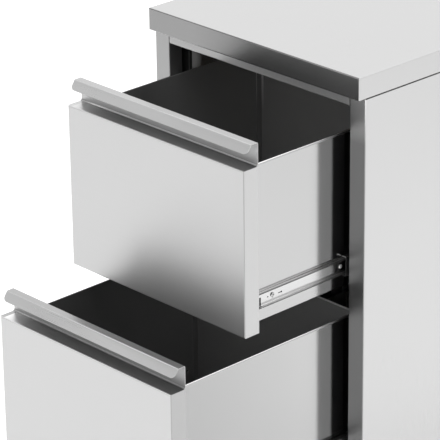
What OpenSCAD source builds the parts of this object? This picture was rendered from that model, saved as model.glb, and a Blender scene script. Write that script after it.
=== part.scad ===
// Stainless steel drawer cabinet with two full-extension drawers.
// Millimetres. Z is up from the floor, the drawers pull out towards -Y, and X = 0 is the middle plane.
// The drawers stand open: the upper one part way, the lower one on its stop.

/* [Cabinet] */
// Overall width, worktop and side panels flush
cabinet_w = 500; // [460:5:600]
// Overall depth of the worktop
cabinet_d = 500; // [495:5:600]
// How far the worktop overhangs the posts at the front
overhang = 15; // [8:1:25]
// Sheet thickness of the casing
sheet = 1; // [0.8:0.1:1.2]
// Inside bend radius of the casing and drawer sheets
bend = 1; // [0.6:0.1:1.6]
// Width of the post face folded from each side panel
post_w = 35; // [30:1:40]
// Depth of the return behind the post face
post_return = 29; // [15:1:30]
// Width of the rear, top and bottom returns of the side panels
panel_return = 20; // [14:1:25]
// Height of the front base rail
base_rail_h = 25; // [20:1:40]
// Visible height of the top front rail
top_rail_h = 20; // [15:1:30]
// Depth of the flanges of both front rails
rail_flange = 28; // [20:1:29]
// Gap between a front rail's end and the post beside it
rail_end_gap = 0.8; // [0.4:0.1:0.9]

/* [Worktop] */
// Thickness of the worktop
worktop_t = 40; // [34:1:50]
// Sheet thickness of the worktop skin
worktop_sheet = 1.2; // [1:0.1:1.5]
// Width of the worktop's underside return
worktop_return = 22; // [20:1:35]
// Clearance between the core board and the skin's walls
core_gap = 0.4; // [0.2:0.1:0.8]

/* [Drawer fronts] */
// Height of a front face, from its bottom edge to the ledge
front_h = 291; // [260:1:320]
// Gap between a front and the post beside it
front_side_gap = 4; // [3:0.5:6]
// Depth of the ledge in front of the handle's plate
ledge_d = 31; // [26:1:31]
// Radius between the ledge and the handle's plate
ledge_r = 4.5; // [3:0.5:7]
// Height of the handle above the ledge
handle_h = 41; // [36:1:46]
// Depth of the handle's top, measured on its underside
handle_top_d = 13.5; // [11:0.5:15]
// Length of the handle's sloping flap
flap_l = 17.8; // [14:0.2:20]
// Lean of the flap from the vertical, in degrees
flap_lean = 35; // [25:1:40]
// Radius of the flap's two lower corners
flap_corner_r = 9; // [6:0.5:12]
// Gap above the upper drawer's handle
gap_over_handle = 7.3; // [5:0.1:12]
// Gap between the lower handle and the upper front
gap_between = 2.2; // [2:0.1:5]
// Gap under the lower drawer's front
gap_under_front = 3; // [2:0.5:6]
// Width of the pan flange of a front's inner liner
liner_flange = 14; // [10:1:18]

/* [Drawer boxes] */
// Outside length of a drawer box behind the front
box_l = 405; // [404:1:410]
// How far the top of the box sits under the ledge
box_drop = 2.5; // [1:0.5:6]
// How far the box floor sits above the front's bottom edge
box_lift = 10.5; // [8:0.5:14]
// Height of the rolled hem along the top of the box sides
hem_h = 4; // [3:0.5:8]
// Inside gap of that hem
hem_gap = 0.6; // [0.5:0.1:1]
// Width of the box's inner flanges
box_flange = 13; // [10:1:16]

/* [Slides] */
// Length of the slide members, and the drawers' full travel
slide_l = 400; // [398:1:402]
// Height of the outer member
slide_h = 45.6; // [44:0.2:48]
// Thickness of the whole slide
slide_w = 12.7; // [12.5:0.1:13.2]
// Sheet thickness of the slide members
slide_sheet = 1.2; // [1:0.1:1.3]
// Height of the slide's centre line above the box floor
slide_up = 39.5; // [32:0.5:80]
// Diameter of the balls
ball_d = 3.4; // [3:0.1:3.6]
// Balls in each row of a cage
ball_n = 7; // [5:1:9]
// Running clearance at the balls
ball_gap = 0.2; // [0.15:0.05:0.3]
// Width of the upright that carries the slides
upright_d = 30; // [26:1:36]
// Distance of an upright's web from the cabinet's outer face
upright_web = 41.8; // [41:0.1:46]
// Distance of the front upright behind the post face
upright_set = 40; // [36:1:45]
// Distance of the rear upright from the slides' rear ends
upright_rear = 10; // [0:1:40]

/* [Open positions] */
// How far the upper drawer stands open
open_upper = 236; // [0:2:400]
// How far the lower drawer stands open
open_lower = 400; // [360:2:400]

/* [Legs] */
// Free height between the floor and the base
leg_h = 88.5; // [80:0.5:140]
// Diameter of a leg tube
leg_d = 38; // [32:1:45]
// Wall of a leg tube
leg_wall = 1.5; // [1.2:0.1:2]
// How far a leg's centre sits in from the sides and the back
leg_inset = 55; // [55:1:80]
// How far a front leg's centre sits behind the front edge of the bottom pan
leg_front_set = 37; // [37:1:80]
// Side of a leg's square plate
leg_plate = 70; // [66:1:72]
// Thickness of a leg's plate
leg_plate_t = 3; // [2:0.5:4]
// Height of the adjusting foot that shows under the tube
foot_show = 26; // [22:1:40]
// Diameter of the foot's base
foot_d = 46; // [40:1:55]
// How far a foot can be screwed out
foot_travel = 25; // [10:5:30]
// Radial clearance of the foot's stem in its tube
stem_gap = 0.4; // [0.3:0.1:0.8]

/* [Hidden] */

$fn = 48;
bend_steps = 5;      // straight pieces in each modelled bend
touch = 0.1;         // assembly clearance between fixed sheets
eps = 0.5;           // how far a cutter runs past a face

steel = [0.80, 0.81, 0.82];
inner_steel = [0.62, 0.63, 0.65];
zinc = [0.70, 0.71, 0.73];
plastic = [0.10, 0.10, 0.11];
board = [0.55, 0.45, 0.33];

// Heights, from the floor up
base_z = leg_h;
base_top_z = base_z + base_rail_h;
lower_bottom_z = base_top_z + gap_under_front;
lower_ledge_z = lower_bottom_z + front_h;
upper_bottom_z = lower_ledge_z + handle_h + gap_between;
upper_ledge_z = upper_bottom_z + front_h;
rail_z = upper_ledge_z + handle_h + gap_over_handle;
casing_top_z = rail_z + top_rail_h;
cabinet_h = casing_top_z + worktop_t;

// Places along Y: the whole object, with its drawers as they stand, is centred on Y = 0
worktop_y = (open_lower - overhang - cabinet_d) / 2;
post_y = worktop_y + overhang;
back_y = worktop_y + cabinet_d;
side_x = cabinet_w / 2;
post_in_x = side_x - post_w;

// Drawer sizes, in a drawer's own frame: Y from the front face back, Z from the ledge
front_w = cabinet_w - 2 * post_w - 2 * front_side_gap;
front_t = ledge_d + sheet;
mount_x = side_x - upright_web;
box_x = mount_x - slide_w;
box_top = -box_drop;
box_bottom = -front_h + box_lift;
box_end = front_t + box_l;
slide_v = box_bottom + slide_up;
hem_x = box_x + hem_gap;
hem_r = 0.2;          // inside radius of a hem's two bends
tab_up = 3;           // distance of a side's front tab from the box's top and floor

// Slide stack, measured from the upright towards the drawer
outer_half = slide_h / 2;
race = 0.8;                                                        // depth of the rolled raceway
outer_in = outer_half - slide_sheet;
race_in = 1.8;                                                     // how far a raceway leans in
race_r = 0.4;                                                      // inside radius of its bends
outer_lip_gap = 2.3;                                               // from its lips to the box side
outer_depth = slide_w - outer_lip_gap;
web_gap = 0.6;                                                     // between the outer and the middle web
middle_set = slide_sheet + web_gap;
middle_r = 0.6;
middle_half = outer_in - ball_d - 2 * ball_gap;
middle_in = middle_half - slide_sheet;
middle_lip_gap = 1.7;
middle_depth = slide_w - middle_lip_gap;
inner_half = middle_in - ball_d - 2 * ball_gap;                    // at the bottom of the ball groove
inner_race = 0.6;                                                  // depth of that groove at the web
inner_tip = 0.3;                                                   // and at the flange's tip
inner_depth = 5;                                                   // tip of the inner member's flanges
inner_r = 0.8;
outer_ball_v = outer_in - ball_gap - ball_d / 2;
outer_ball_u = 6;
inner_ball_v = middle_in - ball_gap - ball_d / 2;
inner_ball_u = 8;
slide_set = 2;                                                     // behind the front's back edge
slide_start = front_t + slide_set;                                 // member's end behind the front face
outer_start = slide_start + 1;
middle_short = 8;
middle_hole_d = 12;
middle_hole_set = 60;
bumper_t = 1.4;
bumper_set = 1;
bumper_l = 14;
bumper_h = 18;
bumper_r = 3;
middle_l = slide_l - middle_short;
cage_l = slide_l / 2 - 3 * middle_short;
cage_t = 0.8;
cage_w = 5.2;
cage_start = outer_start + slide_l / 4 + middle_short;

screw_d = 4;
screw_l = 8;
screw_gap = 0.4;      // how much wider a hole is than its screw
hole_d = screw_d + screw_gap;
head_d = 7.5;
head_t = 2.2;
head_edge = 1.1;      // upright edge under a head's cone
recess_l = 4.2;       // cross recess
recess_w = 1;
recess_t = 1.3;
flat_head_d = 7;
flat_hole_d = flat_head_d + screw_gap;
screw_out = 2;        // how far a drawer screw's end stands inside the box
inner_front_screw = 42;
inner_rear_screw = 24;
inner_screws = [
  slide_start + inner_front_screw, slide_start + slide_l / 2, slide_start + slide_l - inner_rear_screw
];

// Holes of the inner member, as [distance from its front end, height over its centre line, diameter]
inner_holes = [[31.7, -1, 2.6], [42.7, -5, 1.8], [63, -1.6, 3], [250, 0, 3], [340, 0, 3]];
latch_slot = [[55.5, -2.4], [63, -0.8]];     // slot that ends in the third of those holes
end_slot = [13, 2.2];                        // cut up from the lower edge: its place and its width
end_slot_top = 3;
upright_mid = [
  post_y + upright_set + upright_d / 2,
  post_y + outer_start + slide_l - upright_rear - upright_d / 2
];

leg_x = side_x - leg_inset;
pan_front_y = post_y + rail_flange + 2;
leg_front_y = pan_front_y + leg_front_set;
leg_rear_y = back_y - leg_inset;
leg_plate_r = 6;
leg_screw_edge = 8;   // distance of a plate's screws from its edges
leg_screw_set = leg_plate / 2 - leg_screw_edge;
leg_screw_d = 5;
leg_head_d = 9;
leg_head_t = 3.5;
stem_r = leg_d / 2 - leg_wall - stem_gap;
stem_hold = 18;       // what stays in the tube when the foot is screwed right out
stem_up = foot_show + foot_travel + stem_hold;
foot_edge = 1.5;
foot_rim = 4;
foot_collar = 8;
foot_dome = foot_show - foot_rim - foot_collar;
leg_top_z = base_top_z - sheet;

// A bent sheet's outline. The path is the mould line of its reference face, as [x, y, inside radius],
// and the material lies on the right of the direction of travel.
function flat2(p) = [p[0], p[1]];
function heading(a, b) = (flat2(b) - flat2(a)) / norm(flat2(b) - flat2(a));
function left_of(v) = [-v[1], v[0]];
function turning(u, w) = atan2(u[0] * w[1] - u[1] * w[0], u * w);
function spun(v, a) = [v[0] * cos(a) - v[1] * sin(a), v[0] * sin(a) + v[1] * cos(a)];
function bend_arc(path, i, t, far) =
  let (
    u = heading(path[i - 1], path[i]),
    w = heading(path[i], path[i + 1]),
    a = turning(u, w),
    s = sign(a),
    r = path[i][2] + (s < 0 ? t : 0),
    n = s * left_of(u),
    centre = flat2(path[i]) - u * r * tan(abs(a) / 2) + n * r,
    radius = r + (far ? s * t : 0)
  )
  [for (k = [0:bend_steps]) centre - spun(n, a * k / bend_steps) * radius];
function sheet_face(path, t, far) =
  let (
    last = len(path) - 1,
    u = heading(path[0], path[1]),
    w = heading(path[last - 1], path[last]),
    drop = far ? t : 0
  )
  concat(
    [flat2(path[0]) - left_of(u) * drop],
    [for (i = [1:last - 1]) each bend_arc(path, i, t, far)],
    [flat2(path[last]) - left_of(w) * drop]
  );
function backwards(list) = [for (i = [len(list) - 1:-1:0]) list[i]];
function sheet_outline(path, t) = concat(sheet_face(path, t, false), backwards(sheet_face(path, t, true)));

// A rectangle from (x0, y0) to (x1, y1) with its four corners rounded
function rounded_outline(x0, y0, x1, y1, r) = [
  for (i = [0:3])
    let (c = [[x1 - r, y1 - r], [x0 + r, y1 - r], [x0 + r, y0 + r], [x1 - r, y0 + r]][i])
    for (k = [0:bend_steps])
      let (a = 90 * (i + k / bend_steps)) c + r * [cos(a), sin(a)]
];

// Extrudes a (Y, Z) section along X, an (X, Z) section along Y, and an (X, Y) plan along Z
module along_x(x0, x1) translate([x0, 0, 0]) rotate([90, 0, 90]) linear_extrude(x1 - x0) children();
module along_y(y0, y1) translate([0, y1, 0]) rotate([90, 0, 0]) linear_extrude(y1 - y0) children();
module along_z(z0, z1) translate([0, 0, z0]) linear_extrude(z1 - z0) children();

// A block from one corner to the other
module block(a, b) translate(a) cube(b - a);

// A block whose bends run round its top, bottom and corners
module bent_block(a, b, r) intersection() {
  along_x(a[0], b[0]) polygon(rounded_outline(a[1], a[2], b[1], b[2], r));
  along_y(a[1], b[1]) polygon(rounded_outline(a[0], a[2], b[0], b[2], r));
  along_z(a[2], b[2]) polygon(rounded_outline(a[0], a[1], b[0], b[1], r));
}

// A round bar along X, from x0 to x1
module bar_x(x0, x1, y, z, d) translate([x0, y, z]) rotate([0, 90, 0]) cylinder(h = x1 - x0, d = d);

// Puts the part of the right-hand side on the left when side is -1
module on_side(side) if (side < 0) mirror([1, 0, 0]) children(); else children();

// Puts a drawer's own frame at the place where the drawer stands
module at_drawer(opening, ledge) translate([0, post_y - opening, ledge]) children();
module upper() at_drawer(open_upper, upper_ledge_z) children();
module lower() at_drawer(open_lower, lower_ledge_z) children();

// Worktop

module worktop_skin() color(steel) {
  a = [-side_x, worktop_y, casing_top_z];
  b = [side_x, back_y, cabinet_h];
  t = [worktop_sheet, worktop_sheet, worktop_sheet];
  difference() {
    bent_block(a, b, bend + worktop_sheet);
    block(a + t, b - t);
    block(
      [a[0] + worktop_return, a[1] + worktop_return, casing_top_z - eps],
      [b[0] - worktop_return, b[1] - worktop_return, casing_top_z + worktop_sheet + eps]
    );
  }
}

module worktop_core() color(board) {
  in = worktop_sheet + core_gap;
  block(
    [-side_x + in, worktop_y + in, casing_top_z + worktop_sheet],
    [side_x - in, back_y - in, cabinet_h - worktop_sheet]
  );
}

// Casing

panel_plan = [
  [side_x - panel_return, back_y],
  [side_x, back_y, bend],
  [side_x, post_y, bend],
  [post_in_x, post_y, bend],
  [post_in_x, post_y + post_return]
];

module side_panel(side) color(steel) on_side(side) {
  intersection() {
    along_z(base_z, casing_top_z) polygon(sheet_outline(panel_plan, sheet));
    along_y(post_y, back_y) polygon(rounded_outline(0, base_z, side_x, casing_top_z, bend + sheet));
  }
  for (z = [base_z, casing_top_z - sheet])
    block([side_x - panel_return, pan_front_y, z], [side_x - bend - sheet, back_y - 2 * sheet, z + sheet]);
}

module left_side_panel() side_panel(-1);
module right_side_panel() side_panel(1);

module back_panel() color(steel) {
  x = side_x - 2 * sheet;
  z0 = base_z + sheet + touch;
  z1 = casing_top_z - sheet - touch;
  y1 = back_y - sheet;
  along_x(-x, x) polygon(sheet_outline([
    [y1 - panel_return, z1], [y1, z1, bend], [y1, z0, bend], [y1 - panel_return, z0]
  ], sheet));
}

module bottom_panel() color(inner_steel) {
  x = side_x - sheet - touch;
  y1 = back_y - 2 * sheet - touch;
  z0 = base_z + sheet + touch;
  difference() {
    block([-x, pan_front_y, z0 + sheet + bend + touch], [x, y1, base_top_z]);
    block([-x + sheet, pan_front_y + sheet, z0 - eps], [x - sheet, y1 - sheet, base_top_z - sheet]);
    for_each_leg() for_each_leg_screw()
      translate([0, 0, leg_top_z - eps]) cylinder(h = sheet + 2 * eps, d = leg_screw_d + screw_gap);
  }
}

module front_rail(z0, z1) color(steel)
  along_x(-post_in_x + rail_end_gap, post_in_x - rail_end_gap) polygon(sheet_outline([
    [post_y + rail_flange, z0], [post_y, z0, bend], [post_y, z1, bend], [post_y + rail_flange, z1]
  ], sheet));
module top_front_rail() front_rail(rail_z, casing_top_z);
module base_front_rail() front_rail(base_z, base_top_z);

module top_rear_rail() color(inner_steel) {
  y1 = back_y - 2 * sheet - touch - panel_return;
  x = side_x - panel_return - touch;
  along_x(-x, x) polygon(sheet_outline([
    [y1 - rail_flange, casing_top_z - top_rail_h], [y1 - rail_flange, casing_top_z, bend],
    [y1, casing_top_z, bend], [y1, casing_top_z - top_rail_h]
  ], sheet));
}

// Upright channel between the base and the worktop: its web carries the slides
module upright(side, mid) color(inner_steel) on_side(side) difference() {
  y0 = mid - upright_d / 2;
  y1 = mid + upright_d / 2;
  along_z(base_top_z, casing_top_z - sheet - touch) polygon(sheet_outline([
    [side_x - sheet - touch, y0], [mount_x, y0, bend],
    [mount_x, y1, bend], [side_x - sheet - touch, y1]
  ], sheet));
  for (z = [upper_ledge_z, lower_ledge_z])
    bar_x(mount_x - eps, mount_x + sheet + eps, mid, z + slide_v, hole_d);
}
module left_front_upright() upright(-1, upright_mid[0]);
module left_rear_upright() upright(-1, upright_mid[1]);
module right_front_upright() upright(1, upright_mid[0]);
module right_rear_upright() upright(1, upright_mid[1]);

// Legs and feet

module for_each_leg()
  for (x = [-leg_x, leg_x], y = [leg_front_y, leg_rear_y]) translate([x, y, 0]) children();
module for_each_leg_screw()
  for (x = [-1, 1], y = [-1, 1]) translate([x * leg_screw_set, y * leg_screw_set, 0]) children();

module leg_tubes() color(steel) for_each_leg() difference() {
  union() {
    translate([0, 0, leg_top_z - leg_plate_t])
      linear_extrude(leg_plate_t) polygon(rounded_outline(
        -leg_plate / 2, -leg_plate / 2, leg_plate / 2, leg_plate / 2, leg_plate_r));
    translate([0, 0, foot_show]) cylinder(h = leg_top_z - leg_plate_t / 2 - foot_show, d = leg_d);
  }
  translate([0, 0, foot_show - eps])
    cylinder(h = leg_top_z - leg_plate_t - foot_show + eps, d = leg_d - 2 * leg_wall);
  for_each_leg_screw() translate([0, 0, leg_top_z - leg_plate_t - eps])
    cylinder(h = leg_plate_t + 2 * eps, d = leg_screw_d + screw_gap);
}

module leg_screws() color(zinc) for_each_leg() for_each_leg_screw() {
  translate([0, 0, leg_top_z - leg_plate_t - leg_head_t]) cylinder(h = leg_head_t, d = leg_head_d, $fn = 6);
  translate([0, 0, leg_top_z - leg_plate_t]) cylinder(h = leg_plate_t + sheet, d = leg_screw_d);
}

// Adjusting foot: a domed base under a collar, on a stem that slides in the tube
module foot(x, y) color(plastic) translate([x, y, 0]) rotate_extrude() polygon(concat(
  [[0, 0], [foot_d / 2 - foot_edge, 0], [foot_d / 2, foot_edge]],
  [for (a = [0:15:90]) [leg_d / 2 + (foot_d - leg_d) / 2 * cos(a), foot_rim + foot_dome * sin(a)]],
  [[leg_d / 2, foot_show - stem_gap], [stem_r, foot_show - stem_gap], [stem_r, stem_up], [0, stem_up]]
));
module front_left_foot() foot(-leg_x, leg_front_y);
module front_right_foot() foot(leg_x, leg_front_y);
module rear_left_foot() foot(-leg_x, leg_rear_y);
module rear_right_foot() foot(leg_x, leg_rear_y);

// Slides. Profiles are in (X, Z) for the right-hand side, with Z from the slide's centre line.

function outer_profile() =
  let (x0 = mount_x - outer_depth, v = outer_half)
  sheet_outline([
    [x0, v - race], [x0 + race_in, v, race_r], [mount_x - race_in, v, race_r], [mount_x, v - race, race_r],
    [mount_x, race - v, race_r], [mount_x - race_in, -v, race_r], [x0 + race_in, -v, race_r], [x0, race - v]
  ], slide_sheet);
function middle_profile() =
  let (x0 = mount_x - middle_depth, x1 = mount_x - middle_set)
  sheet_outline([
    [x0, middle_half], [x1, middle_half, middle_r], [x1, -middle_half, middle_r], [x0, -middle_half]
  ], slide_sheet);
function inner_profile() =
  let (
    x1 = mount_x - inner_depth,
    xb = mount_x - inner_ball_u,
    tip = inner_half + inner_tip,
    v = inner_half + inner_race,
    groove_r = ball_d / 2 + ball_gap
  )
  sheet_outline([
    [x1, -tip], [xb, -inner_half, groove_r], [box_x, -v, inner_r],
    [box_x, v, inner_r], [xb, inner_half, groove_r], [x1, tip]
  ], slide_sheet);

module outer_slide(side, ledge) color(zinc) on_side(side) translate([0, 0, ledge + slide_v]) difference() {
  along_y(post_y + outer_start, post_y + outer_start + slide_l) polygon(outer_profile());
  for (y = upright_mid) bar_x(mount_x - slide_sheet - eps, mount_x + eps, y, 0, flat_hole_d);
}
module upper_left_outer_slide() outer_slide(-1, upper_ledge_z);
module upper_right_outer_slide() outer_slide(1, upper_ledge_z);
module lower_left_outer_slide() outer_slide(-1, lower_ledge_z);
module lower_right_outer_slide() outer_slide(1, lower_ledge_z);

module slide_mounting_screws() color(zinc) for (side = [-1, 1], z = [upper_ledge_z, lower_ledge_z])
  on_side(side) for (y = upright_mid) {
    bar_x(mount_x - slide_sheet, mount_x, y, z + slide_v, flat_head_d);
    bar_x(mount_x, mount_x + screw_l, y, z + slide_v, screw_d);
  }

// The drawer first runs out on the middle member to its stop, and only then pulls that member along
function middle_out(opening) = max(0, opening - slide_l / 2);
module middle_slide(side) color(zinc) on_side(side) translate([0, 0, slide_v]) difference() {
  along_y(0, middle_l) polygon(middle_profile());
  x1 = mount_x - middle_set;
  for (y = [-middle_hole_set, middle_hole_set])
    bar_x(x1 - slide_sheet - eps, x1 + eps, middle_l / 2 + y, 0, middle_hole_d);
}
module at_middle(opening, ledge)
  translate([0, post_y + outer_start + middle_short / 2 - middle_out(opening), ledge]) children();
module upper_left_middle_slide() at_middle(open_upper, upper_ledge_z) middle_slide(-1);
module upper_right_middle_slide() at_middle(open_upper, upper_ledge_z) middle_slide(1);
module lower_left_middle_slide() at_middle(open_lower, lower_ledge_z) middle_slide(-1);
module lower_right_middle_slide() at_middle(open_lower, lower_ledge_z) middle_slide(1);

// A stop block in the front end of each middle member, between its web and the inner member
module slide_bumpers() color(plastic) for (side = [-1, 1]) on_side(side) translate([0, 0, slide_v]) {
  x1 = mount_x - middle_set - slide_sheet;
  along_x(x1 - bumper_t, x1)
    polygon(rounded_outline(bumper_set, -bumper_h / 2, bumper_set + bumper_l, bumper_h / 2, bumper_r));
}
module upper_slide_bumpers() at_middle(open_upper, upper_ledge_z) slide_bumpers();
module lower_slide_bumpers() at_middle(open_lower, lower_ledge_z) slide_bumpers();

// Two strips of balls in each slide, one over and one under the inner of the two members
module ball_cages(u, v) for (side = [-1, 1]) on_side(side) translate([mount_x - u, 0, slide_v])
  for (z = [-v, v]) {
    pitch = cage_l / ball_n;
    color(plastic) difference() {
      block([-cage_w / 2, 0, z - cage_t / 2], [cage_w / 2, cage_l, z + cage_t / 2]);
      for (k = [0:ball_n - 1]) translate([0, (k + 0.5) * pitch, z - cage_t])
        cylinder(h = 2 * cage_t, d = ball_d + ball_gap);
    }
    color(zinc) for (k = [0:ball_n - 1]) translate([0, (k + 0.5) * pitch, z]) sphere(d = ball_d);
  }
// A cage rolls half as far as the two members on either side of it move apart
module at_cage(travel, ledge) translate([0, post_y + cage_start - travel, ledge]) children();
module outer_cages(opening, ledge)
  at_cage(middle_out(opening) / 2, ledge) ball_cages(outer_ball_u, outer_ball_v);
module inner_cages(opening, ledge)
  at_cage((middle_out(opening) + opening) / 2, ledge) ball_cages(inner_ball_u, inner_ball_v);
module upper_outer_ball_cages() outer_cages(open_upper, upper_ledge_z);
module upper_inner_ball_cages() inner_cages(open_upper, upper_ledge_z);
module lower_outer_ball_cages() outer_cages(open_lower, lower_ledge_z);
module lower_inner_ball_cages() inner_cages(open_lower, lower_ledge_z);

// Drawer front: one sheet folded into the bottom return, the face, the ledge and the handle

handle_in = handle_h - sheet;
flap_top = [ledge_d - handle_top_d, handle_in];
flap_dir = [-sin(flap_lean), -cos(flap_lean)];
flap_end = flap_top + flap_l * flap_dir;
front_path = [
  [front_t, -front_h],
  [0, -front_h, bend],
  [0, 0, bend],
  [ledge_d, 0, ledge_r],
  [ledge_d, handle_in, bend],
  [flap_top[0], flap_top[1], bend],
  flap_end
];

module front_skin() color(steel) difference() {
  intersection() {
    union() {
      along_x(-front_w / 2, front_w / 2) polygon(sheet_outline(front_path, sheet));
      for (x = [-front_w / 2, front_w / 2 - sheet])
        along_x(x, x + sheet) intersection() {
          polygon(rounded_outline(0, -front_h, 2 * front_t, 0, bend + sheet));
          translate([0, -front_h]) square([front_t, front_h]);
        }
    }
    along_z(-front_h - eps, handle_h + eps)
      polygon(rounded_outline(-front_w / 2, 0, front_w / 2, 2 * front_t, bend + sheet));
  }
  for (side = [-1, 1]) on_side(side) flap_corner();
}

// What is cut from a lower corner of the flap to round it
module flap_corner()
  translate([front_w / 2, flap_end[0], flap_end[1]])
    rotate([-flap_lean, 0, 0]) along_y(-3 * sheet, 2 * sheet) difference() {
      translate([-flap_corner_r, -eps]) square([flap_corner_r + eps, flap_corner_r + eps]);
      translate([-flap_corner_r, flap_corner_r]) circle(flap_corner_r);
    }

module front_liner() color(inner_steel) {
  x = front_w / 2 - sheet - touch;
  z0 = -front_h + sheet + touch;
  z1 = -sheet - touch;
  difference() {
    block([-x, ledge_d - liner_flange, z0], [x, front_t, z1]);
    block([-x + sheet, ledge_d - liner_flange - eps, z0 + sheet], [x - sheet, ledge_d, z1 - sheet]);
  }
}

// Drawer box

module box_side(side) color(steel) on_side(side) difference() {
  union() {
    along_y(front_t, box_end) polygon(sheet_outline([
      [hem_x, box_top - hem_h], [hem_x, box_top - sheet, hem_r], [box_x, box_top - sheet, hem_r],
      [box_x, box_bottom, bend], [box_x - box_flange, box_bottom]
    ], sheet));
    block(
      [box_x - box_flange - sheet, front_t, box_bottom + tab_up],
      [box_x - sheet / 2, front_t + sheet, box_top - tab_up]
    );
  }
  for (y = inner_screws) bar_x(box_x - sheet - eps, box_x + eps, y, slide_v, hole_d);
}

module box_back() color(steel) {
  x = box_x - sheet - touch;
  yh = box_end + hem_gap;
  along_x(-x, x) polygon(sheet_outline([
    [yh, box_top - 2 * hem_h], [yh, box_top - sheet, hem_r], [box_end, box_top - sheet, hem_r],
    [box_end, box_bottom + sheet + bend]
  ], sheet));
  for (side = [-1, 1]) on_side(side)
    block(
      [x - sheet, box_end - box_flange, box_bottom + 2 * box_flange],
      [x, box_end - sheet / 2, box_top - 2 * hem_h]
    );
}

module box_floor() color(steel) {
  x = box_x - sheet - bend - touch;
  y0 = front_t + sheet + touch;
  y1 = box_end - sheet - touch;
  z = box_bottom + sheet;
  along_x(-x, x) polygon(sheet_outline([
    [y1, z + box_flange], [y1, z, bend], [y0, z, bend], [y0, z + box_flange]
  ], sheet));
}

module inner_slide(side) color(zinc) on_side(side) translate([0, 0, slide_v]) difference() {
  x0 = box_x - eps;
  x1 = box_x + slide_sheet + eps;
  along_y(slide_start, slide_start + slide_l) polygon(inner_profile());
  for (y = inner_screws) bar_x(x0, x1, y, 0, hole_d);
  for (h = inner_holes) bar_x(x0, x1, slide_start + h[0], h[1], h[2]);
  block(
    [x0, slide_start + latch_slot[0][0], latch_slot[0][1]],
    [x1, slide_start + latch_slot[1][0], latch_slot[1][1]]
  );
  block(
    [x0, slide_start + end_slot[0], -outer_half],
    [mount_x - inner_depth + eps, slide_start + end_slot[0] + end_slot[1], end_slot_top]
  );
}

// A pan head with a cross recess, seated at x0
module pan_head(x0, y, z) translate([x0, y, z]) difference() {
  rotate([0, 90, 0]) union() {
    cylinder(h = head_edge, d = head_d);
    translate([0, 0, head_edge]) cylinder(h = head_t - head_edge, d1 = head_d, d2 = recess_l + recess_w);
  }
  for (s = [[recess_l, recess_w], [recess_w, recess_l]])
    block([head_t - recess_t, -s[0] / 2, -s[1] / 2], [head_t + eps, s[0] / 2, s[1] / 2]);
}

module drawer_screws() color(zinc) for (side = [-1, 1]) on_side(side) for (y = inner_screws) {
  x = box_x + slide_sheet;
  pan_head(x, y, slide_v);
  bar_x(box_x - sheet - screw_out, x, y, slide_v, screw_d);
}

module upper_front_skin() upper() front_skin();
module upper_front_liner() upper() front_liner();
module upper_box_left_side() upper() box_side(-1);
module upper_box_right_side() upper() box_side(1);
module upper_box_back() upper() box_back();
module upper_box_floor() upper() box_floor();
module upper_left_inner_slide() upper() inner_slide(-1);
module upper_right_inner_slide() upper() inner_slide(1);
module upper_drawer_screws() upper() drawer_screws();
module lower_front_skin() lower() front_skin();
module lower_front_liner() lower() front_liner();
module lower_box_left_side() lower() box_side(-1);
module lower_box_right_side() lower() box_side(1);
module lower_box_back() lower() box_back();
module lower_box_floor() lower() box_floor();
module lower_left_inner_slide() lower() inner_slide(-1);
module lower_right_inner_slide() lower() inner_slide(1);
module lower_drawer_screws() lower() drawer_screws();

worktop_skin();
worktop_core();
left_side_panel();
right_side_panel();
back_panel();
bottom_panel();
top_front_rail();
top_rear_rail();
base_front_rail();
left_front_upright();
left_rear_upright();
right_front_upright();
right_rear_upright();
leg_tubes();
leg_screws();
slide_mounting_screws();
upper_left_outer_slide();
upper_right_outer_slide();
lower_left_outer_slide();
lower_right_outer_slide();
upper_left_middle_slide();
upper_right_middle_slide();
lower_left_middle_slide();
lower_right_middle_slide();
upper_slide_bumpers();
lower_slide_bumpers();
upper_outer_ball_cages();
upper_inner_ball_cages();
lower_outer_ball_cages();
lower_inner_ball_cages();
upper_front_skin();
upper_front_liner();
upper_box_left_side();
upper_box_right_side();
upper_box_back();
upper_box_floor();
upper_left_inner_slide();
upper_right_inner_slide();
upper_drawer_screws();
lower_front_skin();
lower_front_liner();
lower_box_left_side();
lower_box_right_side();
lower_box_back();
lower_box_floor();
lower_left_inner_slide();
lower_right_inner_slide();
lower_drawer_screws();
front_left_foot();
front_right_foot();
rear_left_foot();
rear_right_foot();
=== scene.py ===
import math
import bpy
from mathutils import Matrix, Vector

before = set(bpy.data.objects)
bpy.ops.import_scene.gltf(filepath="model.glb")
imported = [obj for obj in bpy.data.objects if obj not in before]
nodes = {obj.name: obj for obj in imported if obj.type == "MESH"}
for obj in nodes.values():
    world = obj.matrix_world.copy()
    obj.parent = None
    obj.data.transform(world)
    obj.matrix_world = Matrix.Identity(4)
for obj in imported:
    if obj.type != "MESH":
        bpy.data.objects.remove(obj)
bpy.context.view_layer.update()
print("frame loaded:", len(nodes), "nodes")

# Shader maths


class Wire:
    # One output socket. Arithmetic on wires adds the Math node that works it out.
    def __init__(self, paint, socket):
        self.paint = paint
        self.socket = socket

    def maths(self, operation, first, second):
        return self.paint.add("ShaderNodeMath", {"operation": operation}, {0: first, 1: second})

    def __add__(self, other):
        return self.maths("ADD", self, other)

    def __radd__(self, other):
        return self.maths("ADD", other, self)

    def __sub__(self, other):
        return self.maths("SUBTRACT", self, other)

    def __rsub__(self, other):
        return self.maths("SUBTRACT", other, self)

    def __mul__(self, other):
        return self.maths("MULTIPLY", self, other)

    def __rmul__(self, other):
        return self.maths("MULTIPLY", other, self)

    def __gt__(self, other):
        return self.maths("GREATER_THAN", self, other)

    def __lt__(self, other):
        return self.maths("LESS_THAN", self, other)

    def __abs__(self):
        return self.maths("ABSOLUTE", self, 0)


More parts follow.
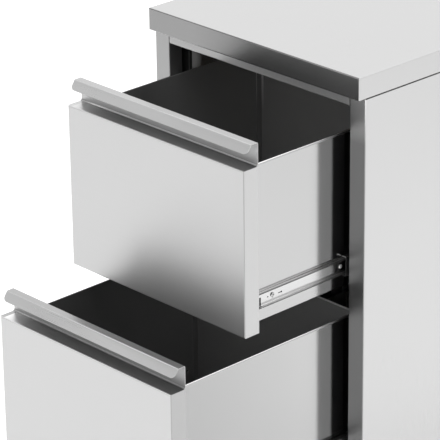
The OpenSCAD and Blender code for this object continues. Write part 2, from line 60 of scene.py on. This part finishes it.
class Paint:
    # A node tree, of a material or of the world, with its surface output
    def __init__(self, owner):
        owner.use_nodes = True
        self.owner = owner
        self.tree = owner.node_tree
        self.tree.nodes.clear()

    def add(self, kind, settings=None, inputs=None, take=0):
        # A node with its settings made first. take is the output that the wire carries.
        node = self.tree.nodes.new(kind)
        for name, value in (settings or {}).items():
            if name == "stops":
                ramp = node.color_ramp
                while len(ramp.elements) < len(value):
                    ramp.elements.new(1)
                for element, (place, shade) in zip(ramp.elements, value):
                    element.position = place
                    element.color = (shade, shade, shade, 1)
            else:
                setattr(node, name, value)
        for name, value in (inputs or {}).items():
            if isinstance(value, Wire):
                self.tree.links.new(value.socket, node.inputs[name])
            else:
                node.inputs[name].default_value = value
        return Wire(self, node.outputs[take])

    def blend(self, factor, first, second):
        # Colour first where factor is 0, second where it is 1
        return self.add("ShaderNodeMix", {"data_type": "RGBA"}, {0: factor, 6: first, 7: second}, 2)

    def part(self, vector, axis):
        return self.add("ShaderNodeSeparateXYZ", None, {0: vector}, axis)

    def toward(self, vector, way):
        # The cosine of the angle between the two
        return self.add("ShaderNodeVectorMath", {"operation": "DOT_PRODUCT"}, {0: vector, 1: way}, "Value")

    def gray(self, tone):
        return self.add("ShaderNodeCombineColor", None, {0: tone, 1: tone, 2: tone})

    def ray(self, kind):
        return self.add("ShaderNodeLightPath", None, None, "Is " + kind + " Ray")

    def noise(self, stretch, detail=2, rough=0.5):
        # Noise whose cells have a size of 1 / stretch metres along each axis
        place = self.add("ShaderNodeTexCoord", None, None, "Object")
        spread = self.add("ShaderNodeMapping", None, {"Vector": place, "Scale": stretch})
        return self.add("ShaderNodeTexNoise", None,
                        {"Vector": spread, "Scale": 1, "Detail": detail, "Roughness": rough})

    def ramp(self, value, *stops):
        return self.add("ShaderNodeValToRGB", {"stops": stops}, {0: value})

    def bump(self, strength, depth, height):
        return self.add("ShaderNodeBump", None, {"Strength": strength, "Distance": depth, "Height": height})

    def finish(self, surface, kind="ShaderNodeOutputMaterial"):
        end = self.tree.nodes.new(kind)
        self.tree.links.new(surface.socket, end.inputs["Surface"])
        return self.owner


# Finishes

steelLook = {
    "grainAlong": 14,        # 1/m, along the brushing
    "grainAcross": 1600,     # 1/m, across it
    "grainDetail": 3,
    "grainDepth": 0.000025,  # metres
    "grainStrength": 0.6,
    "grainShade": 0.05,
    "grainRough": 0.1,
    "stretchTurn": 0.25,     # turns from the brushing to the way in which a reflection is stretched
    "cloudSize": 5,          # 1/m, slow change of tone over a sheet
    "cloudDetail": 1,
    "cloudShade": 0.035,
    "cloudRough": 0.06,
    "sidewaysFrom": 0.7,     # a face whose normal has this much X has upright grain
}
plasticLook = {
    "tone": 0.02,
    "rough": 0.5,
    "grainSize": 900,        # 1/m
    "grainDetail": 3,
    "grainDepth": 0.0001,    # metres
    "grainStrength": 0.4,
    "grainRough": 0.2,
    "cloudSize": 30,         # 1/m
    "cloudDetail": 2,
    "cloudShade": 0.5,
}
boardLook = {
    "chipSize": (260, 260, 90),  # 1/m, chips lie flat
    "chipDetail": 4,
    "chipRough": 0.65,
    "darkUpTo": 0.3,
    "lightFrom": 0.7,
    "dark": (0.30, 0.22, 0.13, 1),
    "light": (0.52, 0.41, 0.27, 1),
    "depth": 0.0003,             # metres
    "strength": 0.5,
    "rough": 0.8,
}
sheetWays = {
    "+X": (1, 0, 0), "-X": (-1, 0, 0), "+Y": (0, 1, 0), "-Y": (0, -1, 0), "+Z": (0, 0, 1),
}
facing = (0.35, 0.65)        # cosines between which a face starts to count as facing a way


def patch(way, level, roughness=0.3, metal=1.0, spread=facing, zone=(), fade=None):
    # Faces that look along way, over the angle whose cosine lies in spread, take these values. zone holds
    # (axis, low, high) limits in metres. fade is (axis, start, end, level there). X counts outward from the
    # middle plane to both sides, x is the plain coordinate.
    return {"way": sheetWays.get(way, way), "level": level, "roughness": roughness, "metal": metal,
            "spread": spread, "zone": zone, "fade": fade}


def runs(way, tones, roughness=0.3, metal=1.0, zone=()):
    # Stretches from left to right, each (place where it begins, places between which its tone changes,
    # both tones)
    return [patch(way, first, roughness, metal, zone=[*zone, ("x", begin, 1)], fade=("x", start, stop, last))
            for begin, start, stop, first, last in tones]


def brushedSteel(name, level, roughness, patches=(), grain="X", swirl=0.0, body=1.0):
    # Fine brushed steel. swirl spreads a reflection across the brushing, body is how metallic it is. A
    # later patch covers an earlier one.
    paint = Paint(bpy.data.materials.new(name))
    along, across = steelLook["grainAlong"], steelLook["grainAcross"]
    flat = [along if axis == grain else across for axis in "XYZ"]
    upright = (across, across, along)
    normal = paint.add("ShaderNodeNewGeometry", None, None, "Normal")
    place = paint.add("ShaderNodeTexCoord", None, None, "Object")
    at = {axis: paint.part(place, k) for k, axis in enumerate("XYZ")}
    at["x"] = at["X"]
    at["X"] = abs(at["x"])
    sideways = abs(paint.part(normal, 0)) > steelLook["sidewaysFrom"]
    linesFlat = paint.noise(flat, steelLook["grainDetail"])
    linesUpright = paint.noise(upright, steelLook["grainDetail"])
    lines = linesFlat * (1 - sideways) + linesUpright * sideways
    cloud = paint.noise((steelLook["cloudSize"],) * 3, steelLook["cloudDetail"])
    tone = 1 + steelLook["grainShade"] * (lines - 0.5) + steelLook["cloudShade"] * (cloud - 0.5)
    plain = level
    rough = roughness
    metal = body
    for p in patches:
        low, high = p["spread"]
        mask = paint.ramp(paint.toward(normal, p["way"]), (low, 0), (high, 1))
        for axis, low, high in p["zone"]:
            mask = mask * (at[axis] > low) * (at[axis] < high)
        target = p["level"]
        if p["fade"]:
            axis, start, end, far = p["fade"]
            target = paint.add("ShaderNodeMapRange", None,
                               {0: at[axis], 1: start, 2: end, 3: target, 4: far})
        plain = plain + mask * (target - plain)
        rough = rough + mask * (p["roughness"] - rough)
        metal = metal + mask * (p["metal"] - metal)
    shade = tone * plain
    rough = rough + steelLook["grainRough"] * (lines - 0.5) + steelLook["cloudRough"] * (cloud - 0.5)
    return paint.finish(paint.add("ShaderNodeBsdfPrincipled", None, {
        "Base Color": paint.gray(shade), "Metallic": metal, "Roughness": rough,
        "Normal": paint.bump(steelLook["grainStrength"], steelLook["grainDepth"], lines),
        "Anisotropic": swirl, "Anisotropic Rotation": steelLook["stretchTurn"]}))


def mouldedPlastic(name):
    paint = Paint(bpy.data.materials.new(name))
    grain = paint.noise((plasticLook["grainSize"],) * 3, plasticLook["grainDetail"])
    cloud = paint.noise((plasticLook["cloudSize"],) * 3, plasticLook["cloudDetail"])
    shade = plasticLook["tone"] * (1 + plasticLook["cloudShade"] * (cloud - 0.5))
    return paint.finish(paint.add("ShaderNodeBsdfPrincipled", None, {
        "Base Color": paint.gray(shade),
        "Roughness": plasticLook["rough"] + plasticLook["grainRough"] * (grain - 0.5),
        "Normal": paint.bump(plasticLook["grainStrength"], plasticLook["grainDepth"], grain)}))


def coreBoard(name):
    paint = Paint(bpy.data.materials.new(name))
    chips = paint.noise(boardLook["chipSize"], boardLook["chipDetail"], boardLook["chipRough"])
    share = paint.ramp(chips, (boardLook["darkUpTo"], 0), (boardLook["lightFrom"], 1))
    return paint.finish(paint.add("ShaderNodeBsdfPrincipled", None, {
        "Base Color": paint.blend(share, boardLook["dark"], boardLook["light"]),
        "Roughness": boardLook["rough"],
        "Normal": paint.bump(boardLook["strength"], boardLook["depth"], chips)}))


def dress(material, *names):
    for name in names:
        for place in nodes[name].material_slots:
            place.material = material


def named(start="", end=""):
    return [name for name in nodes if name.startswith(start) and name.endswith(end)]


# Dull inner faces; the tone here is painted shade of the insides
dullShadeLook = {"tone": 0.22, "rough": 0.5, "metal": 0.1}


def dull(way, level=dullShadeLook["tone"], zone=(), fade=None):
    # The dull inner faces of a sheet. The default tone is painted shade, darkening the insides of the
    # cabinet and the boxes.
    return patch(way, level, dullShadeLook["rough"], dullShadeLook["metal"], zone=zone, fade=fade)


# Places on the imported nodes, in metres

ledges = {"upper": 0.7417, "lower": 0.4075}      # height of each ledge
slideZ = {"upper": 0.5007, "lower": 0.1665}      # height of each slide's middle
frontY = {"upper": -0.2785, "lower": -0.4425}    # each front's face
postY = -0.0425                                  # the posts' face
jointZ = 0.81                                    # where the worktop's sides meet the side panels
slant = math.sqrt(0.5)                           # for a way at 45 degrees between two axes
bothWays = ("+X", "-X")
outward = {"left": "-X", "right": "+X"}
inward = {"left": "+X", "right": "-X"}

# Casing

# Painted shade along the joint between the worktop and the side panels
jointShadeLook = {
    "tone": 0.08, "rough": 0.5, "metal": 0.5,
    "seen": 0.0012, "hidden": 0.001,             # width on the seen face, and past its edge
}


def joint(way, down, up):
    # The dark line between the worktop and a side panel: painted shade in the groove between them
    return patch(way, jointShadeLook["tone"], jointShadeLook["rough"], jointShadeLook["metal"],
                 zone=[("Z", jointZ - down, jointZ + up)])


worktopLook = {
    # The right side is painted a shade darker than the top, and the front edge carries painted shade along
    # it, darkest at the middle.
    "tone": 0.56, "rough": 0.3, "sideShadeTone": 0.52, "edgeRough": 0.24, "edgeMetal": 0.92,
    "edgeTones": [(-1, -0.14, 0, 0.28, 0.22), (0, 0, 0.2, 0.22, 0.36)],      # stretches, as runs has them
}
panelLook = {
    "tone": 0.53, "rough": 0.3, "insideTone": 0.9,
    "foldShadeTone": 0.1, "foldDepth": 0.045,         # painted shade inside the post, from its face back
    # The posts' faces carry painted shade: the right post darker than the left, and lighter towards its top.
    "postTone": {"left": 0.37, "right": 0.29}, "postTopTone": {"left": 0.37, "right": 0.78},
    "postFade": (0.73, 0.8), "postRough": 0.42, "backRough": 0.32,
}
railLook = {
    "tone": 0.53, "rough": 0.3, "faceRough": 0.2, "faceMetal": 0.2,
    # The face carries painted light and shade along the rail: lightest just left of the middle, darkest at
    # the right end.
    "faceTones": [(-1, -0.2, -0.04, 0.68, 0.93), (-0.04, -0.04, 0.2, 0.93, 0.42)],
}
frameLook = {
    "tone": 0.5, "rough": 0.4, "panFloorTone": 0.4,
    # The webs carry painted light, bright at the front and darker further back, and the front flanges carry
    # painted shade.
    "webTone": 1.0, "webRearTone": 0.4, "webFade": (0.014, 0.027), "webRough": 0.45, "webMetal": 0.0,
    "foldShadeTone": 0.06, "foldEnd": 0.004,          # painted shade over the web's first millimetres, which lie in the dark
    "faceTone": 0.04, "faceRough": 0.45, "faceMetal": 0.3,
}
legLook = {"tone": 0.53, "rough": 0.26}

dress(brushedSteel("worktopSteel", worktopLook["tone"], worktopLook["rough"], [
    *runs("-Y", worktopLook["edgeTones"], worktopLook["edgeRough"], worktopLook["edgeMetal"]),
    patch("+X", worktopLook["sideShadeTone"]),
    *[joint(way, jointShadeLook["hidden"], jointShadeLook["seen"]) for way in bothWays]]), "worktop_skin")
dress(coreBoard("chipboardCore"), "worktop_core")
for side in outward:
    dress(brushedSteel(side + "PanelSteel", panelLook["tone"], panelLook["rough"], [
        dull(inward[side], panelLook["insideTone"]),
        dull(inward[side], panelLook["foldShadeTone"], [("Y", -1, postY + panelLook["foldDepth"])]),
        patch("-Y", panelLook["postTone"][side], panelLook["postRough"],
              fade=("Z", *panelLook["postFade"], panelLook["postTopTone"][side])),
        joint(outward[side], jointShadeLook["seen"], jointShadeLook["hidden"])]), side + "_side_panel")
dress(brushedSteel("backPanelSteel", panelLook["tone"], panelLook["backRough"], [dull("-Y")]), "back_panel")
dress(brushedSteel("railSteel", railLook["tone"], railLook["rough"], [
    dull("+Y"), *runs("-Y", railLook["faceTones"], railLook["faceRough"], railLook["faceMetal"])]),
    "top_front_rail", "top_rear_rail", "base_front_rail")
dress(brushedSteel("panSteel", frameLook["tone"], frameLook["rough"], [
    dull("+Z", frameLook["panFloorTone"])]), "bottom_panel")
dress(brushedSteel("frameSteel", frameLook["tone"], frameLook["rough"], [
    *[patch(way, frameLook["webTone"], frameLook["webRough"], frameLook["webMetal"],
            fade=("Y", *frameLook["webFade"], frameLook["webRearTone"])) for way in bothWays],
    *[dull(way, frameLook["foldShadeTone"], [("Y", -1, frameLook["foldEnd"])]) for way in bothWays],
    patch("-Y", frameLook["faceTone"], frameLook["faceRough"], frameLook["faceMetal"])], grain="Z"),
    *named(end="_upright"))
dress(brushedSteel("tubeSteel", legLook["tone"], legLook["rough"], grain="Z"), "leg_tubes")
dress(mouldedPlastic("blackNylon"), *named(end="_foot"), *named(end="_bumpers"))
print("casing dressed")

# Slides

slideLook = {
    "tone": 0.57, "innerRough": 0.2, "outerRough": 0.24,
    "cutShadeTone": 0.06, "cutRough": 0.5, "cutMetal": 0.6,                   # painted shade on cut ends and punched edges
    "flangeTone": 1.0, "flangeTip": 0.2025, "tipEnd": 0.204,             # X of a flange's tip
    "upperFlange": (0.1975, 0.4), "lowerFlange": (0.196, 0.5),           # X where its painted reflection starts to darken, tone at the tip
    "reach": 0.03,                                                       # more than half a slide's height
    "slotBack": 0.0481, "slotHalf": 0.0019, "slotTop": 0.003,            # end slot, behind the front's face
    # The lips' front ends carry a painted glint.
    "lipGlintTone": 0.7, "lipRough": 0.3, "lipMetal": 0.4, "lipFrom": 0.0164,
    # The screws are painted dark as shade in their recesses and round their heads, and the rear screws'
    # heads carry a painted glint.
    "screwShadeTone": 0.06, "screwRough": 0.4, "headTone": 0.55, "headRough": 0.25,
    "rearHeadGlintTone": 0.95, "rearHeadMetal": 0.4, "rearFrom": -0.06,
}


# Painted shade on cut ends, flange tips and the end slot, over a duller finish
def shadedEdge(way, zone=()):
    return patch(way, slideLook["cutShadeTone"], slideLook["cutRough"], slideLook["cutMetal"], zone=zone)


# A flange's top carries a painted reflection: bright by the box side, darker towards its tip.
def flange(zone, fadeFrom, tipTone):
    return patch("+Z", slideLook["flangeTone"], zone=[zone],
                 fade=("X", fadeFrom, slideLook["flangeTip"], tipTone))


for drawer, z in slideZ.items():
    slot = frontY[drawer] + slideLook["slotBack"]
    tip = [("X", slideLook["flangeTip"], slideLook["tipEnd"])]
    endSlot = [("Y", slot - slideLook["slotHalf"], slot + slideLook["slotHalf"]),
               ("Z", 0, z + slideLook["slotTop"])]
    dress(brushedSteel(drawer + "InnerSlideZinc", slideLook["tone"], slideLook["innerRough"], [
        flange(("Z", z, z + slideLook["reach"]), *slideLook["upperFlange"]),
        flange(("Z", z - slideLook["reach"], z), *slideLook["lowerFlange"]),
        shadedEdge("-Y"), *[shadedEdge(way, zone) for way in bothWays for zone in (tip, endSlot)]], grain="Y"),
        *named(drawer, "_inner_slide"))
    dress(brushedSteel(drawer + "OuterSlideZinc", slideLook["tone"], slideLook["outerRough"], [
        shadedEdge("-Y"), patch("-Y", slideLook["lipGlintTone"], slideLook["lipRough"], slideLook["lipMetal"],
                             zone=[("Z", z + slideLook["lipFrom"], z + slideLook["reach"])])], grain="Y"),
        *named(drawer, ("_outer_slide", "_middle_slide")))
dress(brushedSteel("zincPlate", slideLook["tone"], slideLook["outerRough"], grain="Y"),
      "leg_screws", "slide_mounting_screws", *named(end="_ball_cages"))
dress(brushedSteel("screwZinc", slideLook["screwShadeTone"], slideLook["screwRough"], [
    *[patch(way, slideLook["headTone"], slideLook["headRough"]) for way in bothWays],
    *[patch(way, slideLook["rearHeadGlintTone"], slideLook["headRough"], slideLook["rearHeadMetal"],
            zone=[("Y", slideLook["rearFrom"], 1)]) for way in bothWays]]), *named(end="_drawer_screws"))
print("slides dressed")

# Drawer boxes

boxLook = {
    "tone": {"upper": 0.455, "lower": 0.445}, "rough": 0.1, "innerRough": 0.22,
    # The lower box's outer side is painted darker near its front, fading back: painted shade.
    "frontTone": {"upper": 0.455, "lower": 0.375}, "frontRough": 0.13,
    "sideFade": (0.03, 0.3),                                             # behind the front's face
    # The box's inner faces carry painted shade, darkest near the front and lighter towards the back.
    "insideTone": 0.09, "insideRearTone": 0.38, "insideFade": (0.16, 0.43),
    "hemDrop": 0.0025,                                                   # from the ledge to the hem's top
    "hemShadeTone": 0.42, "hemStrip": (0.0041, 0.0012),                       # painted shade line, below the hem's top
    "rimHighlightTone": 0.95, "rimSpread": (0.8, 0.92), "rimStrip": (0.003, 0.001),       # painted highlight on the hem's rounded top, below it and above it
    "rimWay": {"left": (-slant, 0, slant), "right": (slant, 0, slant)},
    # Painted shade behind the inner slides, seen through their holes
    "holeShadeTone": 0.03, "hiddenRough": 0.6, "hiddenMetal": 0.2,
    "slideFrom": 0.034, "slideLong": 0.4, "webHalf": 0.0115,             # the inner slide's flat web
    # The back's top edge and its corner line carry painted light.
    "backTone": 0.45, "backSideTone": 0.35, "backTop": 0.005, "edgeTone": 1.0,
    "cornerAt": (0.1885, 0.1945), "cornerFade": (0.12, 0.05),            # X of the line, below the ledge
}


def behindSlide(drawer):
    # What an inner slide hides of the box, painted dark as shade seen through the slide's holes
    y, z = frontY[drawer] + boxLook["slideFrom"], slideZ[drawer]
    return [("Y", y, y + boxLook["slideLong"]), ("Z", z - boxLook["webHalf"], z + boxLook["webHalf"])]


def boxSide(drawer, side):
    face, tone = frontY[drawer], boxLook["tone"][drawer]
    hem = ledges[drawer] - boxLook["hemDrop"]
    near, far = boxLook["sideFade"]
    nearInside, farInside = boxLook["insideFade"]
    low, high = boxLook["hemStrip"]
    rimLow, rimHigh = boxLook["rimStrip"]
    return brushedSteel(drawer + side + "BoxSteel", tone, boxLook["rough"], [
        patch(outward[side], boxLook["frontTone"][drawer], boxLook["frontRough"],
              fade=("Y", face + near, face + far, tone)),
        dull(inward[side], boxLook["insideTone"],
             fade=("Y", face + nearInside, face + farInside, boxLook["insideRearTone"])),
        patch(outward[side], boxLook["hemShadeTone"], zone=[("Z", hem - low, hem - high)]),
        patch(outward[side], boxLook["holeShadeTone"], boxLook["hiddenRough"], boxLook["hiddenMetal"],
              zone=behindSlide(drawer)),
        patch(boxLook["rimWay"][side], boxLook["rimHighlightTone"], spread=boxLook["rimSpread"],
              zone=[("Z", hem - rimLow, hem + rimHigh)])])


def boxInside(drawer):
    # Patches of the pieces between the sides. The back carries a painted light line at its corner,
    # brightening towards the top, and a painted highlight along its top edge.
    ledge = ledges[drawer]
    low, high = boxLook["cornerFade"]
    return {
        "box_back": [
            dull("-Y", boxLook["backTone"]), dull("+X", boxLook["backSideTone"]),
            dull("-Y", boxLook["backTone"], [("X", *boxLook["cornerAt"])],
                 ("Z", ledge - low, ledge - high, boxLook["edgeTone"])),
            dull("-Y", boxLook["edgeTone"], [("Z", ledge - boxLook["backTop"], ledge)]),
            dull("+Z", boxLook["edgeTone"])],
        "box_floor": [dull("+Z")],
        "front_liner": [dull("+Y")],
    }


for drawer in ledges:
    for side in outward:
        dress(boxSide(drawer, side), drawer + "_box_" + side + "_side")
    for member, patches in boxInside(drawer).items():
        dress(brushedSteel(drawer + member, boxLook["tone"][drawer], boxLook["innerRough"], patches),
              drawer + "_" + member)
print("drawer boxes dressed")

# Drawer fronts

frontLook = {
    "tone": 0.59, "rough": 0.34, "swirl": 0.6, "body": 0.76,
    # The fronts' sides are painted darker than their faces, the lower more than the upper: painted shade.
    "sideShadeTone": {"upper": 0.49, "lower": 0.41},
    "ledgeHalf": 0.003,                                   # above and below the ledge's height
    # The ledges under the handles carry painted shade, changing in tone along them.
    "ledgeTones": {
        "upper": [(-1, -1, 0, 0.55, 0.55), (-0.2015, -0.2, -0.15, 0.66, 0.4),
                  (-0.15, -0.15, -0.1, 0.4, 0.36)],
        "lower": [(-1, -1, 0, 0.42, 0.42), (-0.2015, -0.2, -0.155, 0.88, 0.4),
                  (-0.155, -0.155, 0, 0.4, 0.29)],
    },
    # The plate, the grip's top and the flap take different tones on the two drawers: painted light and
    # shade.
    "plateTone": {"upper": 0.64, "lower": 0.58}, "plateRough": 0.45, "plateMetal": 0.7,
    "gripTone": {"upper": 0.47, "lower": 0.4},
    "gripFrom": 0.036, "gripTop": 0.05,                   # above the ledge
    "flapTone": {"upper": 0.82, "lower": 0.97}, "flapWay": (0, -0.819, 0.574), "flapSpread": (0.93, 0.98),
    # The bend between plate and ledge is painted darker, as painted shade over its highlight.
    "foldShadeTone": 0.3, "foldRough": 0.4, "foldSpread": (0.75, 0.9),
    "foldAt": (0.02, 0.033), "foldTop": 0.006,            # behind the face, and above the ledge
    # A painted highlight runs along the crease, fading to a lower tone at its left end.
    "creaseEnd": -0.2, "creaseFrom": {"upper": -0.165, "lower": -0.05},      # x, to its full tone
    "creaseEndTone": {"upper": 0.45, "lower": 0.5}, "creaseTone": {"upper": 0.9, "lower": 0.6},
    # The vertical corners of the fronts carry a painted shade line.
    "cornerTone": 0.34, "cornerSpread": (0.9, 0.97),
}


def frontPatches(drawer):
    look, ledge, face = frontLook, ledges[drawer], frontY[drawer]
    near, far = look["foldAt"]
    fold = [("Y", face + near, face + far), ("Z", ledge, ledge + look["foldTop"])]
    return [
        *[patch(way, look["sideShadeTone"][drawer]) for way in bothWays],
        *runs("+Z", look["ledgeTones"][drawer],
              zone=[("Z", ledge - look["ledgeHalf"], ledge + look["ledgeHalf"])]),
        patch("-Y", look["plateTone"][drawer], look["plateRough"], look["plateMetal"],
              zone=[("Z", ledge + look["ledgeHalf"], ledge + look["gripTop"])]),
        patch("+Z", look["gripTone"][drawer],
              zone=[("Z", ledge + look["gripFrom"], ledge + look["gripTop"])]),
        patch(look["flapWay"], look["flapTone"][drawer], spread=look["flapSpread"]),
        patch((0, -slant, slant), look["foldShadeTone"], look["foldRough"], spread=look["foldSpread"], zone=fold),
        patch(look["flapWay"], look["creaseEndTone"][drawer], spread=look["flapSpread"], zone=fold,
              fade=("x", look["creaseEnd"], look["creaseFrom"][drawer], look["creaseTone"][drawer])),
        *[patch((k * slant, -slant, 0), look["cornerTone"], spread=look["cornerSpread"]) for k in (-1, 1)],
    ]


for drawer in ledges:
    dress(brushedSteel(drawer + "FrontSteel", frontLook["tone"], frontLook["rough"], frontPatches(drawer),
                       swirl=frontLook["swirl"], body=frontLook["body"]), drawer + "_front_skin")
print("drawer fronts dressed")

# Studio: a pale floor and soft light

studio = {
    "white": (1, 1, 1, 1),
    "floorHalf": 30.0,
    "floorTone": 0.8,
    "floorRough": 0.9,
    "floorGrain": (6, 6, 6),                     # 1/m
    "floorShade": 0.01,
    "floorLift": 0.5,                            # light it gives off where it is seen, to read as white
    "roomTone": 0.34,
    "cards": [                                   # soft white cards, behind the cabinet and at its right
        {"aim": (-0.671, 0.628, 0.393), "tone": 1.22, "rim": 0.25},
        {"aim": (0.671, 0.628, 0.393), "tone": 1.1, "rim": 0.6},
    ],
    "cardFade": 0.3,                             # from a card's rim to its full tone, as a cosine
    "lampPlace": (0.3, -0.6, 3.6),
    "lampAim": (0, 0, 0.5),
    "lampSize": 2.6,
    "lampPower": 60,
}


def addObject(name, data):
    thing = bpy.data.objects.new(name, data)
    bpy.context.scene.collection.objects.link(thing)
    return thing


def makeFloor():
    h = studio["floorHalf"]
    mesh = bpy.data.meshes.new("studioFloor")
    mesh.from_pydata([(-h, -h, 0), (h, -h, 0), (h, h, 0), (-h, h, 0)], [], [(0, 1, 2, 3)])
    floor = addObject("studioFloor", mesh)
    paint = Paint(bpy.data.materials.new("paleFloor"))
    glow = (paint.ray("Camera") + paint.ray("Glossy") + paint.ray("Transmission")) * studio["floorLift"]
    tone = studio["floorTone"] * (1 + studio["floorShade"] * (paint.noise(studio["floorGrain"]) - 0.5))
    mesh.materials.append(paint.finish(paint.add("ShaderNodeBsdfPrincipled", None, {
        "Base Color": paint.gray(tone), "Roughness": studio["floorRough"], "Specular IOR Level": 0.0,
        "Emission Color": paint.gray(glow), "Emission Strength": 1.0})))


def makeWorld():
    world = bpy.data.worlds.new("studio")
    bpy.context.scene.world = world
    paint = Paint(world)
    way = paint.add("ShaderNodeTexCoord", None, None, "Generated")
    room = studio["roomTone"]
    for card in studio["cards"]:
        rim = card["rim"]
        mask = paint.ramp(paint.toward(way, card["aim"]), (rim, 0), (rim + studio["cardFade"], 1))
        room = room + (card["tone"] - studio["roomTone"]) * mask
    camera = paint.ray("Camera")
    strength = room * (1 - camera) + camera
    paint.finish(paint.add("ShaderNodeBackground", None, {"Color": studio["white"], "Strength": strength}),
                 "ShaderNodeOutputWorld")


def makeLamp():
    data = bpy.data.lights.new("softbox", "AREA")
    data.size = studio["lampSize"]
    data.energy = studio["lampPower"]
    lamp = addObject("softbox", data)
    lamp.location = studio["lampPlace"]
    lamp.rotation_euler = (Vector(studio["lampAim"]) - lamp.location).to_track_quat("-Z", "Y").to_euler()


makeFloor()
makeWorld()
makeLamp()
print("studio ready")

# Camera, solved from the photograph's own straight edges

view = {
    "place": (3.1704, -3.1318, 2.4166),          # metres
    "yaw": 46.57,                                # degrees, to the left of straight ahead
    "pitch": -23.136,
    "roll": -0.695,
    "sensor": 36,                                # millimetres
    "lens": 231.1,
    "shift": (-0.0006, -0.0002),
    "reach": 100,                                # metres
}


def makeCamera():
    yaw, pitch, roll = (math.radians(view[k]) for k in ("yaw", "pitch", "roll"))
    ahead = Vector((-math.sin(yaw) * math.cos(pitch), math.cos(yaw) * math.cos(pitch), math.sin(pitch)))
    level = Vector((math.cos(yaw), math.sin(yaw), 0))
    up = level.cross(ahead)
    right = math.cos(roll) * level + math.sin(roll) * up
    top = math.cos(roll) * up - math.sin(roll) * level
    data = bpy.data.cameras.new("camera")
    data.sensor_width = view["sensor"]
    data.lens = view["lens"]
    data.shift_x, data.shift_y = view["shift"]
    data.clip_end = view["reach"]
    camera = addObject("camera", data)
    turn = Matrix((right, top, -ahead)).transposed().to_4x4()
    camera.matrix_world = Matrix.Translation(view["place"]) @ turn
    bpy.context.scene.camera = camera


makeCamera()
bpy.context.scene.view_settings.view_transform = "Standard"

bpy.context.view_layer.update()
